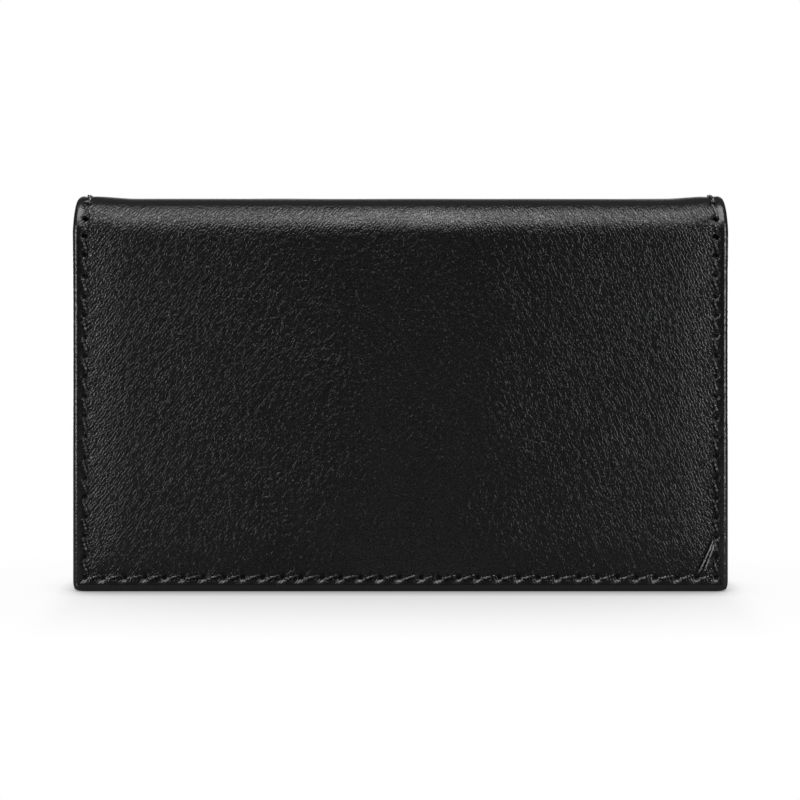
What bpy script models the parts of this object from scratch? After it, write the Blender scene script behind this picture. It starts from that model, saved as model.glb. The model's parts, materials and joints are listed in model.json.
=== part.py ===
"""A black leather document holder, folded shut and standing on its two lower rims.

Every layer is laid out flat first: x runs across the holder, s runs from the front cover's lower rim over
the fold to the back cover's lower rim, and d is the depth inwards from the outer face. place() folds the
flat layer shut, with the fold on top, the front cover at -Y and the back cover at +Y.
"""

import math

import bmesh
import bpy
from mathutils import Vector

# Overall sizes, in metres
WIDTH = 0.110
HEIGHT = 0.066

# Thickness of each layer
LEATHER = 0.0011
BOARD = 0.0006
HEM = 0.0007
LINING = 0.0004
FILM = 0.0003
WINDOW_LEATHER = 0.0005
POCKET_LEATHER = 0.0005

# Clearances
LAYER_GAP = 0.0003
THREAD_GAP = 0.0002
COVER_GAP = 0.0004
FOLD_GAP = 0.0003

# Turned rim and the valley that the seam pulls into the leather
EDGE_ROUND = 0.0010
RIM_CORNER = 0.0009
LEAST_CORNER = 0.00025
RIM_DROP = 0.00015
HEM_WIDTH = 0.008
SEAM_INSET = 0.0021
VALLEY_DEPTH = 0.00075
VALLEY_FLOOR = 0.0007
VALLEY_WIDTH = 0.0018
FACE_DROP = 0.0002
PUFF_REACH = 0.012

# Thread
THREAD_RADIUS = 0.00022
STITCH = 0.0033
STITCH_WAVE = 0.0001

# The long stitch that crosses the front cover's lower right corner, in its own groove
CORNER_STITCH_HEIGHT = 0.0081
CORNER_STITCH_REACH = 0.0046
CORNER_GROOVE_DEPTH = 0.0007
CORNER_GROOVE_END = 0.0003

# The fold's ends stand a little higher and a little narrower than its middle
END_LIFT = 0.00045
END_REACH = 0.004
END_BLEND = 0.0025
FOLD_PINCH = 0.0006

# Inside pieces
LINING_INSET = 0.001
LINING_CORNER = 0.001
BOARD_END = 0.0005
POCKET_COUNT = 3
POCKET_HEAD = 0.0095
POCKET_STEP = 0.008
POCKET_SEAM = 0.0018
WINDOW_HEAD = 0.0035
WINDOW_SIDE_BAR = 0.012
WINDOW_TOP_BAR = 0.009
WINDOW_FOOT_BAR = 0.008
WINDOW_CORNER = 0.003
WINDOW_SEAM = 0.0015
FILM_MARGIN = 0.003
NOTCH_RADIUS = 0.0055

# Mesh steps
FOLD_STEPS = 24
CORNER_STEPS = 4
ROUND_STEPS = 5
NOTCH_STEPS = 32

# Depth at which each layer starts, and what the two covers come to when shut
BOARD_DEPTH = LEATHER + LAYER_GAP
HEM_DEPTH = BOARD_DEPTH + BOARD + LAYER_GAP
LINING_DEPTH = HEM_DEPTH + HEM + LAYER_GAP
LINING_FACE = LINING_DEPTH + LINING
FILM_DEPTH = LINING_FACE + LAYER_GAP
WINDOW_DEPTH = FILM_DEPTH + FILM + LAYER_GAP
WINDOW_FACE = WINDOW_DEPTH + WINDOW_LEATHER
POCKET_RISE = LAYER_GAP + POCKET_LEATHER
THREAD_SEAT = THREAD_GAP + THREAD_RADIUS
THREAD_RISE = THREAD_SEAT + STITCH_WAVE + THREAD_RADIUS
FRONT_STACK = WINDOW_FACE + THREAD_RISE
BACK_STACK = LINING_FACE + POCKET_COUNT * POCKET_RISE + THREAD_RISE

# The fold's outer radius is half the closed depth
FOLD_RADIUS = (FRONT_STACK + BACK_STACK + COVER_GAP) / 2
STRAIGHT = HEIGHT - FOLD_RADIUS
FOLD_LENGTH = math.pi * FOLD_RADIUS
SHEET_LENGTH = 2 * STRAIGHT + FOLD_LENGTH
FRONT_CUT = STRAIGHT + FOLD_LENGTH / 4
BACK_CUT = STRAIGHT + 3 * FOLD_LENGTH / 4

# Turning a quarter about each of these lines lays the fold out to its full length
HINGE_OFFSET = FOLD_LENGTH / 4
BACK_HINGE = Vector((0, HINGE_OFFSET, STRAIGHT + HINGE_OFFSET))
FRONT_HINGE = Vector((0, -HINGE_OFFSET, STRAIGHT + HINGE_OFFSET))

MATERIALS = {
    "black_leather": ((0.018, 0.018, 0.019, 1), 0.45),
    "pocket_leather": ((0.022, 0.021, 0.021, 1), 0.55),
    "lining_cloth": ((0.030, 0.030, 0.032, 1), 0.85),
    "board": ((0.35, 0.31, 0.26, 1), 0.9),
    "thread": ((0.012, 0.012, 0.013, 1), 0.6),
    "clear_film": ((0.85, 0.88, 0.9, 0.35), 0.1),
}


def clear_scene():
    for obj in list(bpy.data.objects):
        bpy.data.objects.remove(obj)


def material(name):
    found = bpy.data.materials.get(name)
    if found:
        return found
    colour, roughness = MATERIALS[name]
    made = bpy.data.materials.new(name)
    made.use_nodes = True
    shader = made.node_tree.nodes["Principled BSDF"]
    shader.inputs["Base Color"].default_value = colour
    shader.inputs["Roughness"].default_value = roughness
    shader.inputs["Metallic"].default_value = 0
    shader.inputs["Alpha"].default_value = colour[3]
    return made


def smoothstep(value):
    held = min(max(value, 0), 1)
    return held * held * (3 - 2 * held)


def place(x, s, d):
    """The point of the shut holder that a point of the flat layout comes to."""
    past_front = max(s - STRAIGHT, 0)
    past_fold = max(past_front - FOLD_LENGTH, 0)
    turn = (past_front - past_fold) / FOLD_RADIUS
    bulge = math.sin(turn) ** 2
    near_end = smoothstep((END_REACH + END_BLEND - WIDTH / 2 + abs(x)) / END_BLEND)
    near_face = smoothstep((LEATHER - d) / (LEATHER - VALLEY_DEPTH))
    lift = END_LIFT * bulge * near_end * near_face
    narrowed = x * (1 - FOLD_PINCH * bulge / (WIDTH / 2))
    radius = FOLD_RADIUS - d + lift
    height = min(s, STRAIGHT) - past_fold + radius * math.sin(turn)
    return Vector((narrowed, -radius * math.cos(turn), height))


def on_front(x, z, d):
    return place(x, z, d)


def on_back(x, z, d):
    return place(x, SHEET_LENGTH - z, d)


def rounded_box(left, right, low, high, corner):
    """The points of a rectangle with round corners, anticlockwise."""
    centres = (
        (right - corner, high - corner, 0),
        (left + corner, high - corner, 1),
        (left + corner, low + corner, 2),
        (right - corner, low + corner, 3),
    )
    points = []
    for across, along, quarter in centres:
        for step in range(CORNER_STEPS + 1):
            angle = (quarter + step / CORNER_STEPS) * math.pi / 2
            points.append((across + corner * math.cos(angle), along + corner * math.sin(angle)))
    return points


def sheet_outline(inset, corner):
    """The outline of the whole flat sheet, drawn in by the inset."""
    half = WIDTH / 2 - inset
    return rounded_box(-half, half, inset, SHEET_LENGTH - inset, corner)


def loft(rings):
    """A closed flat-laid solid from rings of points, capped at the first ring and the last."""
    mesh = bmesh.new()
    loops = []
    for points, depth in rings:
        loops.append([mesh.verts.new((x, s, depth)) for x, s in points])
    for near, far in zip(loops, loops[1:]):
        for index in range(len(near)):
            after = (index + 1) % len(near)
            mesh.faces.new((near[index], near[after], far[after], far[index]))
    mesh.faces.new(loops[0])
    mesh.faces.new(loops[-1])
    return mesh


def trim(mesh, position, keep_above):
    """Cuts the flat solid off at s = position and closes the cut."""
    everything = mesh.verts[:] + mesh.edges[:] + mesh.faces[:]
    cut = bmesh.ops.bisect_plane(
        mesh,
        geom=everything,
        plane_co=(0, position, 0),
        plane_no=(0, 1, 0),
        clear_inner=keep_above,
        clear_outer=not keep_above,
    )
    edges = [item for item in cut["geom_cut"] if isinstance(item, bmesh.types.BMEdge)]
    bmesh.ops.edgenet_fill(mesh, edges=edges)


def score(mesh):
    """Lines across the flat solid at which it bends round the fold."""
    for step in range(FOLD_STEPS + 1):
        position = STRAIGHT + FOLD_LENGTH * step / FOLD_STEPS
        everything = mesh.verts[:] + mesh.edges[:] + mesh.faces[:]
        bmesh.ops.bisect_plane(mesh, geom=everything, plane_co=(0, position, 0), plane_no=(0, 1, 0))


def add_mesh(name, mesh, placing, slot, parent):
    """Folds a flat solid into its place and makes it an object on its parent's axis."""
    for vertex in mesh.verts:
        vertex.co = placing(*vertex.co)
    bmesh.ops.recalc_face_normals(mesh, faces=mesh.faces)
    if mesh.calc_volume(signed=True) < 0:
        bmesh.ops.reverse_faces(mesh, faces=mesh.faces)
    data = bpy.data.meshes.new(name)
    mesh.to_mesh(data)
    mesh.free()
    data.materials.append(material(slot))
    return add_object(name, data, parent)


def add_object(name, data, parent):
    obj = bpy.data.objects.new(name, data)
    bpy.context.scene.collection.objects.link(obj)
    if parent:
        obj.parent = parent
        obj.location = -pivot_of(parent)
    return obj


def pivot_of(empty):
    """Where an empty stands in the holder's own frame."""
    pivot = Vector(empty.location)
    while empty.parent:
        empty = empty.parent
        pivot += empty.location
    return pivot


def add_hinge(name, position, parent):
    hinge = bpy.data.objects.new(name, None)
    bpy.context.scene.collection.objects.link(hinge)
    hinge.parent = parent
    hinge.location = position - (pivot_of(parent) if parent else Vector())
    return hinge


def fold_section(name, rings, low, high, slot, parent):
    """One stretch of a sheet that runs over the fold, between two flat positions."""
    mesh = loft(rings)
    if low is not None:
        trim(mesh, low + FOLD_GAP / 2, True)
    if high is not None:
        trim(mesh, high - FOLD_GAP / 2, False)
    score(mesh)
    return add_mesh(name, mesh, place, slot, parent)


def leather_rings():
    """The outer leather from the middle of its face, round the turned rim, to the inside of the hem."""
    def ring(inset, depth):
        corner = max(RIM_CORNER - inset, LEAST_CORNER)
        return sheet_outline(inset, corner), depth

    outer_round = min(EDGE_ROUND, SEAM_INSET - VALLEY_WIDTH / 2)
    hem_face = HEM_DEPTH + HEM
    inner_round = min(EDGE_ROUND, (hem_face - outer_round - RIM_DROP) / 2)
    rings = [
        ring(PUFF_REACH, 0),
        ring((PUFF_REACH + SEAM_INSET) / 2, FACE_DROP / 4),
        ring(SEAM_INSET + VALLEY_WIDTH / 2, FACE_DROP),
        ring(SEAM_INSET + VALLEY_FLOOR / 2, VALLEY_DEPTH),
        ring(SEAM_INSET - VALLEY_FLOOR / 2, VALLEY_DEPTH),
        ring(SEAM_INSET - VALLEY_WIDTH / 2, RIM_DROP),
    ]
    for step in range(1, ROUND_STEPS + 1):
        angle = step / ROUND_STEPS * math.pi / 2
        inset = outer_round * (1 - math.sin(angle))
        rings.append(ring(inset, RIM_DROP + outer_round * (1 - math.cos(angle))))
    for step in range(ROUND_STEPS + 1):
        angle = step / ROUND_STEPS * math.pi / 2
        inset = inner_round * (1 - math.cos(angle))
        rings.append(ring(inset, hem_face - inner_round * (1 - math.sin(angle))))
    rings.append(ring(HEM_WIDTH, hem_face))
    rings.append(ring(HEM_WIDTH, HEM_DEPTH))
    rings.append(ring(LEATHER, HEM_DEPTH))
    rings.append(ring(LEATHER, LEATHER))
    return rings


def flat_rings(inset, depth, thickness):
    outline = sheet_outline(inset, LINING_CORNER)
    return [(outline, depth), (outline, depth + thickness)]


def panel(name, placing, outline, depth, thickness, slot, parent):
    """A flat piece on one cover."""
    mesh = loft([(outline, depth), (outline, depth + thickness)])
    return add_mesh(name, mesh, placing, slot, parent)


def inside_outline(top):
    half = WIDTH / 2 - LINING_INSET
    return rounded_box(-half, half, LINING_INSET, top, LINING_CORNER)


def board_outline():
    inset = LEATHER + LAYER_GAP
    half = WIDTH / 2 - inset
    return rounded_box(-half, half, inset, STRAIGHT - BOARD_END, LINING_CORNER)


def window_outline(margin, corner):
    """The window's opening, let out by the margin."""
    half = WIDTH / 2 - LINING_INSET - WINDOW_SIDE_BAR + margin
    low = LINING_INSET + WINDOW_FOOT_BAR - margin
    high = STRAIGHT - WINDOW_HEAD - WINDOW_TOP_BAR + margin
    return rounded_box(-half, half, low, high, corner)


def notch_outline():
    """A circle on the window frame's upper edge, for the thumb."""
    centre = STRAIGHT - WINDOW_HEAD
    points = []
    for step in range(NOTCH_STEPS):
        angle = step / NOTCH_STEPS * 2 * math.pi
        points.append((NOTCH_RADIUS * math.cos(angle), centre + NOTCH_RADIUS * math.sin(angle)))
    return points


def cut_out(target, name, outline, depth, thickness, parent):
    """Cuts an outline of the front cover away, from a depth inwards."""
    cutter = panel(name, on_front, outline, depth, thickness, "board", parent)
    cutter.hide_render = True
    cutter.display_type = "WIRE"
    cutting = target.modifiers.new(name, "BOOLEAN")
    cutting.operation = "DIFFERENCE"
    cutting.solver = "EXACT"
    cutting.object = cutter


def cut_through(target, name, outline, parent):
    """Cuts an outline right through the window frame."""
    past = WINDOW_LEATHER / 2
    cut_out(target, name, outline, WINDOW_DEPTH - past, WINDOW_LEATHER + 2 * past, parent)


def thread(name, points, parent, closed=False):
    """A thread along points of the shut holder."""
    data = bpy.data.curves.new(name, "CURVE")
    data.dimensions = "3D"
    data.bevel_depth = THREAD_RADIUS
    data.bevel_resolution = 0
    data.use_fill_caps = not closed
    spline = data.splines.new("POLY")
    spline.points.add(len(points) - 1)
    for point, position in zip(spline.points, points):
        point.co = (*position, 1)
    spline.use_cyclic_u = closed
    data.materials.append(material("thread"))
    return add_object(name, data, parent)


def stitched(corners, seat, outwards, closed=False):
    """Points along straight seams between corners: low at each needle hole, high halfway along each stitch.

    seat(x, s) is the thread's depth at a needle hole, and outwards is -1 where it rises towards d = 0.
    """
    ends = corners + corners[:1] if closed else corners
    route = []
    for (x0, s0), (x1, s1) in zip(ends, ends[1:]):
        half_stitches = 2 * max(round(math.hypot(x1 - x0, s1 - s0) / STITCH), 1)
        for step in range(half_stitches):
            share = step / half_stitches
            x = x0 + (x1 - x0) * share
            s = s0 + (s1 - s0) * share
            route.append((x, s, seat(x, s) + outwards * STITCH_WAVE * (step % 2)))
    if not closed:
        x, s = corners[-1]
        route.append((x, s, seat(x, s)))
    return route


def valley_seat(x, s):
    return VALLEY_DEPTH - THREAD_SEAT


def seat_on(face):
    """A seat on one piece's inner face."""
    return lambda x, s: face + THREAD_SEAT


def stepped_seat(levels):
    """A seat on whichever piece the seam crosses: levels are (top edge, face) from the topmost piece."""
    reach = STITCH / 2 + THREAD_SEAT

    def seat(x, z):
        for top, face in levels:
            if z < top + reach:
                return face + THREAD_SEAT
        return LINING_FACE + THREAD_SEAT

    return seat


def seam_corners(end):
    """The seam of one cover, from the fold down one side, along the foot and up to the fold again."""
    side = WIDTH / 2 - SEAM_INSET
    return [(-side, end), (-side, SEAM_INSET), (side, SEAM_INSET), (side, end)]


def pocket_top(index):
    return STRAIGHT - POCKET_HEAD - index * POCKET_STEP


def pocket_face(index):
    return LINING_FACE + (index + 1) * POCKET_RISE


def corner_stitch_ends():
    """Both ends lie beside the seam's own thread."""
    beside = 2 * THREAD_RADIUS + THREAD_GAP
    upper = (WIDTH / 2 - SEAM_INSET - beside, CORNER_STITCH_HEIGHT)
    lower = (WIDTH / 2 - CORNER_STITCH_REACH, SEAM_INSET + beside)
    return upper, lower


def corner_groove_outline():
    (x0, z0), (x1, z1) = corner_stitch_ends()
    length = math.hypot(x1 - x0, z1 - z0)
    along = ((x1 - x0) / length, (z1 - z0) / length)
    half = THREAD_SEAT
    past = half + CORNER_GROOVE_END
    outline = []
    for x, z, way in ((x0, z0, -1), (x1, z1, 1)):
        for side in (way, -way):
            across = x + way * past * along[0] - side * half * along[1]
            outline.append((across, z + way * past * along[1] + side * half * along[0]))
    return outline


def make_corner_stitch(leather, front):
    proud = CORNER_GROOVE_DEPTH / 2
    cut_out(leather, "corner_groove", corner_groove_outline(), -proud, CORNER_GROOVE_DEPTH + proud, front)
    seat = CORNER_GROOVE_DEPTH - THREAD_SEAT
    thread("corner_stitch", [on_front(x, z, seat) for x, z in corner_stitch_ends()], front)


def make_leather(front, fold):
    rings = leather_rings()
    leather = fold_section("front_leather", rings, None, FRONT_CUT, "black_leather", front)
    make_corner_stitch(leather, front)
    fold_section("fold_leather", rings, FRONT_CUT, BACK_CUT, "black_leather", fold)
    fold_section("back_leather", rings, BACK_CUT, None, "black_leather", None)


def make_stiffening(front, fold):
    panel("front_board", on_front, board_outline(), BOARD_DEPTH, BOARD, "board", front)
    panel("back_board", on_back, board_outline(), BOARD_DEPTH, BOARD, "board", None)
    rings = flat_rings(LEATHER + LAYER_GAP, BOARD_DEPTH, BOARD)
    fold_section("fold_strip", rings, FRONT_CUT, BACK_CUT, "board", fold)


def make_lining(front, fold):
    rings = flat_rings(LINING_INSET, LINING_DEPTH, LINING)
    fold_section("front_lining", rings, None, FRONT_CUT, "lining_cloth", front)
    fold_section("fold_lining", rings, FRONT_CUT, BACK_CUT, "lining_cloth", fold)
    fold_section("back_lining", rings, BACK_CUT, None, "lining_cloth", None)


def make_window(front):
    outline = inside_outline(STRAIGHT - WINDOW_HEAD)
    frame = panel("window_frame", on_front, outline, WINDOW_DEPTH, WINDOW_LEATHER, "pocket_leather", front)
    cut_through(frame, "window_opening", window_outline(0, WINDOW_CORNER), front)
    cut_through(frame, "thumb_notch", notch_outline(), front)
    film = window_outline(FILM_MARGIN, WINDOW_CORNER)
    panel("window_film", on_front, film, FILM_DEPTH, FILM, "clear_film", front)
    seam = window_outline(WINDOW_SEAM, LEAST_CORNER)[:: CORNER_STEPS + 1]
    route = stitched(seam, seat_on(WINDOW_FACE), 1, closed=True)
    thread("window_thread", [on_front(*point) for point in route], front, closed=True)


def make_pockets():
    for index, word in enumerate(("rear", "middle", "near")[:POCKET_COUNT]):
        top = pocket_top(index)
        face = pocket_face(index)
        start = face - POCKET_LEATHER
        outline = inside_outline(top)
        panel(f"{word}_card_pocket", on_back, outline, start, POCKET_LEATHER, "pocket_leather", None)
        end = WIDTH / 2 - SEAM_INSET - STITCH / 2
        edge = [(-end, top - POCKET_SEAM), (end, top - POCKET_SEAM)]
        route = stitched(edge, seat_on(face), 1)
        thread(f"{word}_pocket_thread", [on_back(*point) for point in route], None)


def make_cover_threads(front):
    end = FRONT_CUT - FOLD_GAP / 2
    outer = stitched(seam_corners(end), valley_seat, -1)
    thread("front_seam_thread", [on_front(*point) for point in outer], front)
    thread("back_seam_thread", [on_back(*point) for point in outer], None)
    window_level = [(STRAIGHT - WINDOW_HEAD, WINDOW_FACE)]
    inner = stitched(seam_corners(end), stepped_seat(window_level), 1)
    thread("front_inner_thread", [on_front(*point) for point in inner], front)
    pocket_levels = [(pocket_top(index), pocket_face(index)) for index in reversed(range(POCKET_COUNT))]
    inner = stitched(seam_corners(end), stepped_seat(pocket_levels), 1)
    thread("back_inner_thread", [on_back(*point) for point in inner], None)


def make_fold_threads(fold):
    low = FRONT_CUT + FOLD_GAP / 2
    high = BACK_CUT - FOLD_GAP / 2
    for word, side in (("left", -1), ("right", 1)):
        across = side * (WIDTH / 2 - SEAM_INSET)
        seam = [(across, low), (across, high)]
        outer = stitched(seam, valley_seat, -1)
        thread(f"{word}_fold_thread", [place(*point) for point in outer], fold)
        inner = stitched(seam, seat_on(LINING_FACE), 1)
        thread(f"{word}_inner_fold_thread", [place(*point) for point in inner], fold)


def main():
    clear_scene()
    fold = add_hinge("back_fold_line", BACK_HINGE, None)
    front = add_hinge("front_fold_line", FRONT_HINGE, fold)
    make_leather(front, fold)
    make_stiffening(front, fold)
    make_lining(front, fold)
    make_window(front)
    make_pockets()
    make_cover_threads(front)
    make_fold_threads(fold)


main()
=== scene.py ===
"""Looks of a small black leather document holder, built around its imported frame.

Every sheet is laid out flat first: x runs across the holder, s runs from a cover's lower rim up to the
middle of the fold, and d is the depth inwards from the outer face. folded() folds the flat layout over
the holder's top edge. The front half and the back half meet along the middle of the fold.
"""

import json
import math

import bmesh
import bpy
from bpy.props import FloatProperty, FloatVectorProperty, IntProperty, PointerProperty
from mathutils import Matrix, Vector, kdtree, noise


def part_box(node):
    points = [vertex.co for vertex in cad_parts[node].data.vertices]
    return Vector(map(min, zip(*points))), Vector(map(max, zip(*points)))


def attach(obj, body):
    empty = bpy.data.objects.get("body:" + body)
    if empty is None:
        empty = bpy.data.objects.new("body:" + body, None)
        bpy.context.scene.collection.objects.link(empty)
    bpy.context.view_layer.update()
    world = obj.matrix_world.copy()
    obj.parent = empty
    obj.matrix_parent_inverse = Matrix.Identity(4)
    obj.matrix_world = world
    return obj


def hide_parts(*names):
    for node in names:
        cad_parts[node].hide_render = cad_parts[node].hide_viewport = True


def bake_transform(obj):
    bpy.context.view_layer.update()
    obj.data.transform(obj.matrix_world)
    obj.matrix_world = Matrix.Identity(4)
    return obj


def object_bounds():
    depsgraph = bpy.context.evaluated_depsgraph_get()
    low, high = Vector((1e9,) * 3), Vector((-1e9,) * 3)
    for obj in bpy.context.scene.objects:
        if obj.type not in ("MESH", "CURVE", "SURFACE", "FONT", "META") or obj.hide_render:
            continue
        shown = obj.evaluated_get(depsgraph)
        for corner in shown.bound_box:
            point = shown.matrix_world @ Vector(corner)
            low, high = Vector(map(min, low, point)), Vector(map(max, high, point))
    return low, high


bl_info = {
    "name": "Document Holder Looks",
    "version": (1, 0, 0),
    "blender": (4, 5, 0),
    "location": "3D Viewport > Sidebar > Holder",
    "description": "Builds a document holder's leather, lining, pockets and stitches, and a small studio",
    "category": "Object",
}

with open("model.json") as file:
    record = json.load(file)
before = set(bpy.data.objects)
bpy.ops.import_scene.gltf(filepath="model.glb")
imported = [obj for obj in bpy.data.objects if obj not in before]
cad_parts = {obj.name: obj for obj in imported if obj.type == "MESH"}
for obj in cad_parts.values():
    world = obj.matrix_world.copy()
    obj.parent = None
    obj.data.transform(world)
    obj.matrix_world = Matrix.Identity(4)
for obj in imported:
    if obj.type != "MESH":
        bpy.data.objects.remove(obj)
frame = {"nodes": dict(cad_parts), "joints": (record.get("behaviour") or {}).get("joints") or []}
CAD_LOW, CAD_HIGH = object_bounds()

# The fold and the covers, from the frame's outline and its first fold line
FOLD_LINE = frame["joints"][0]["pos_m"]
FOLD_RADIUS = 4 * FOLD_LINE[1] / math.pi
STRAIGHT = FOLD_LINE[2] - FOLD_LINE[1]
MIDDLE = STRAIGHT + FOLD_RADIUS * math.pi / 2
HALF_WIDTH = (CAD_HIGH.x - CAD_LOW.x) / 2

FRONT = -1
BACK = 1
COVER = {FRONT: "front_cover", BACK: "back_cover"}
SIDE_NAME = {FRONT: "front", BACK: "back"}
POCKETS = ("rear", "middle", "near")

MM = 0.001
UV_NAME = "sheet"
UV_SPAN = 0.16  # Side of the square of the flat layout that the UV map covers
CORNER_STEPS = 6
NOTCH_STEPS = 24
RIM_STEPS = 5
FOLD_ROWS = 12  # Rows of edges in a hidden face that bends round the fold
SMALLEST_CORNER = 0.15 * MM
FOOT_SHIFT = 0.0003  # How much further in the foot's seam lies than the sides'
CORNER_FAN = 0.0006  # Distance from a corner over which a rim's direction turns
STITCH_GAP = 0.1  # Share of a stitch's length that is left free at each end
STITCH_BOW = 0.4  # How far a stitch bows sideways, as a share of its slant
SLANT_SPREAD = 0.5  # How much one stitch's slant differs from the next
FINE_STITCH = 3.0 * MM  # Length of a stitch round the window and on the pockets
THREAD_RISE = 0.14 * MM  # How far the middle of the outer thread lies over the leather


# Settings


def a_length(name, description, default):
    return FloatProperty(name=name, description=description, default=default, unit="LENGTH")


def a_number(name, description, default):
    return FloatProperty(name=name, description=description, default=default)


def a_count(name, description, default):
    return IntProperty(name=name, description=description, default=default)


def a_colour(name, description, default):
    return FloatVectorProperty(name=name, description=description, default=default, subtype="COLOR")


class LeatherSizes(bpy.types.PropertyGroup):
    thickness: a_length("Thickness", "Thickness of the outer leather", 0.0011)
    inner_depth: a_length("Inner depth", "Depth of the leather's hidden side", 0.00138)
    deepest: a_length("Deepest", "Greatest depth of the face, at a needle hole", 0.0013)
    rim_round: a_length("Rim round", "Radius of the turned rim", 0.001)
    rim_fall: a_length("Rim fall", "Depth that the rim's outer round takes", 0.0008)
    hem_width: a_length("Hem width", "Width of the leather turned inside", 0.008)
    hem_depth: a_length("Hem depth", "Depth at which the hem starts", 0.0023)
    hem_thickness: a_length("Hem thickness", "Thickness of the skived hem", 0.0007)
    crown_depth: a_length("Crown depth", "Depth of the welt between the seam and the rim", 0.0003)
    side_slope: a_number("Side slope", "How steeply the face falls towards the seam", 0.115)
    slope_end: a_length("Slope end", "Inset at which the slope starts to ease", 0.0048)
    slope_ease: a_length("Slope ease", "Distance over which the slope eases", 0.005)
    swell: a_length("Swell", "How far the fold stands out over the faces", 0.00045)
    swell_reach: a_length("Swell reach", "Distance over which the swell dies away", 0.008)
    end_lift: a_length("End lift", "How much higher the fold's ends stand", 0.0005)
    end_reach: a_length("End reach", "How far in from its ends the fold stands higher", 0.002)
    fold_pinch: a_length("Fold pinch", "How much narrower the fold is at its top", 0.00025)
    cell: a_length("Cell", "Size of the face's mesh cells", 0.00085)


class StitchSizes(bpy.types.PropertyGroup):
    inset: a_length("Seam inset", "Distance of the seam from the edge", 0.0021)
    side_count: a_count("Side stitches", "Stitches from a lower corner to the middle of the fold", 20)
    foot_count: a_count("Foot stitches", "Stitches along a cover's lower rim", 32)
    thread_radius: a_length("Thread radius", "Radius of the sewing thread", 0.00028)
    slant: a_length("Slant", "How far a stitch's ends lie beside the seam line", 0.00026)
    unevenness: a_length("Unevenness", "How far a needle hole strays along the seam", 0.00022)
    hole_radius: a_length("Hole radius", "Radius of the dent at a needle hole", 0.00042)
    hole_depth: a_length("Hole depth", "Depth of the dent at a needle hole", 0.0006)
    pucker: a_length("Pucker", "Height of the folds between needle holes", 0.00021)


class InsideSizes(bpy.types.PropertyGroup):
    window_side: a_length("Window side bar", "Width of the frame beside the window", 0.012)
    window_top: a_length("Window top bar", "Width of the frame over the window", 0.009)
    window_foot: a_length("Window foot bar", "Width of the frame under the window", 0.008)
    window_corner: a_length("Window corner", "Radius of the window's corners", 0.003)
    notch_radius: a_length("Notch radius", "Radius of the notch for the thumb", 0.0055)
    corner: a_length("Corner", "Radius of the pockets' corners", 0.001)
    pocket_seam: a_length("Pocket seam", "Distance of the stitches from a pocket's upper edge", 0.0018)
    cloth: a_length("Cloth", "Thickness of the lining cloth", 0.0004)
    window_seam: a_length("Window seam", "Distance of the stitches from the window", 0.0015)


class HolderColours(bpy.types.PropertyGroup):
    leather: a_colour("Leather", "Colour of the outer leather", (0.0014, 0.0014, 0.0015))
    pocket: a_colour("Pocket leather", "Colour of the inside leather", (0.008, 0.0078, 0.0078))
    lining: a_colour("Lining", "Colour of the lining cloth", (0.012, 0.012, 0.0125))
    thread: a_colour("Thread", "Colour of the sewing thread", (0.016, 0.016, 0.016))
    board: a_colour("Board", "Colour of the stiffening board", (0.35, 0.31, 0.26))
    film: a_colour("Film", "Colour of the clear film", (0.93, 0.95, 0.96))


class StudioSettings(bpy.types.PropertyGroup):
    lens: a_number("Lens", "Focal length in millimetres", 100)
    pixel: a_length("Pixel", "Size of an image pixel at the front cover", 0.0001679)
    height: a_length("Height", "Height of the level camera", 0.055)
    key_power: a_number("Key power", "Power of the lamp over the front, in watts", 6.3)
    back_power: a_number("Back power", "Power of the lamp behind, in watts", 1.2)
    side_power: a_number("Side power", "Power of each side lamp, in watts", 0.16)
    front_level: a_number("Front level", "Level of the light from the front", 0.003)
    top_level: a_number("Top level", "Level of the light from above the front", 0.22)
    back_level: a_number("Back level", "Level of the light from behind", 0.2)
    floor_gloss: a_number("Floor gloss", "How much of the floor's white the reflections show", 0.03)


# The flat layout


def smoothstep(value):
    held = min(max(value, 0), 1)
    return held * held * (3 - 2 * held)


def folded(leather, side, x, s, d):
    """The point of the shut holder that a point of the flat layout comes to."""
    past = max(s - STRAIGHT, 0)
    turn = past / FOLD_RADIUS
    bulge = math.sin(turn) ** 2
    end_blend = 4 * leather.end_reach
    near_end = smoothstep((leather.end_reach + end_blend - HALF_WIDTH + abs(x)) / end_blend)
    near_face = smoothstep((leather.thickness - d) / (0.3 * leather.thickness))
    lift = leather.end_lift * bulge * near_end * near_face
    narrowed = x * (1 - leather.fold_pinch * bulge / HALF_WIDTH)
    radius = FOLD_RADIUS - d + lift
    return Vector((narrowed, side * radius * math.cos(turn), min(s, STRAIGHT) + radius * math.sin(turn)))


def inset_of(x, s):
    """How far in from the sheet's edge a point lies, less a little at the foot."""
    return min(HALF_WIDTH - abs(x), s - FOOT_SHIFT)


def layer_of(node, side):
    """A flat node in the layout: its left, right, low and high edges, its outer and its inner depth."""
    low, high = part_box(node)
    depths = sorted((FOLD_RADIUS - side * low.y, FOLD_RADIUS - side * high.y))
    return low.x, high.x, low.z, high.z, depths[0], depths[1]


def lining_of(inside, side):
    """The lining in the layout, like layer_of. Its node bends into the fold, so the cloth's own thickness
    gives its inner depth."""
    left, right, low, _, back, _ = layer_of(f"{SIDE_NAME[side]}_lining", side)
    return left, right, low, MIDDLE, back, back + inside.cloth


def window_opening(inside):
    """The window's left, right, low and high edges."""
    left, right, low, high = layer_of("window_frame", FRONT)[:4]
    side = inside.window_side
    return left + side, right - side, low + inside.window_foot, high - inside.window_top


def stray(seed, x, y=0):
    """A steady random number from -1 to 1 for a place. Each seed gives its own field of numbers."""
    return noise.noise(Vector((x, y, seed * 7.31)))


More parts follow.
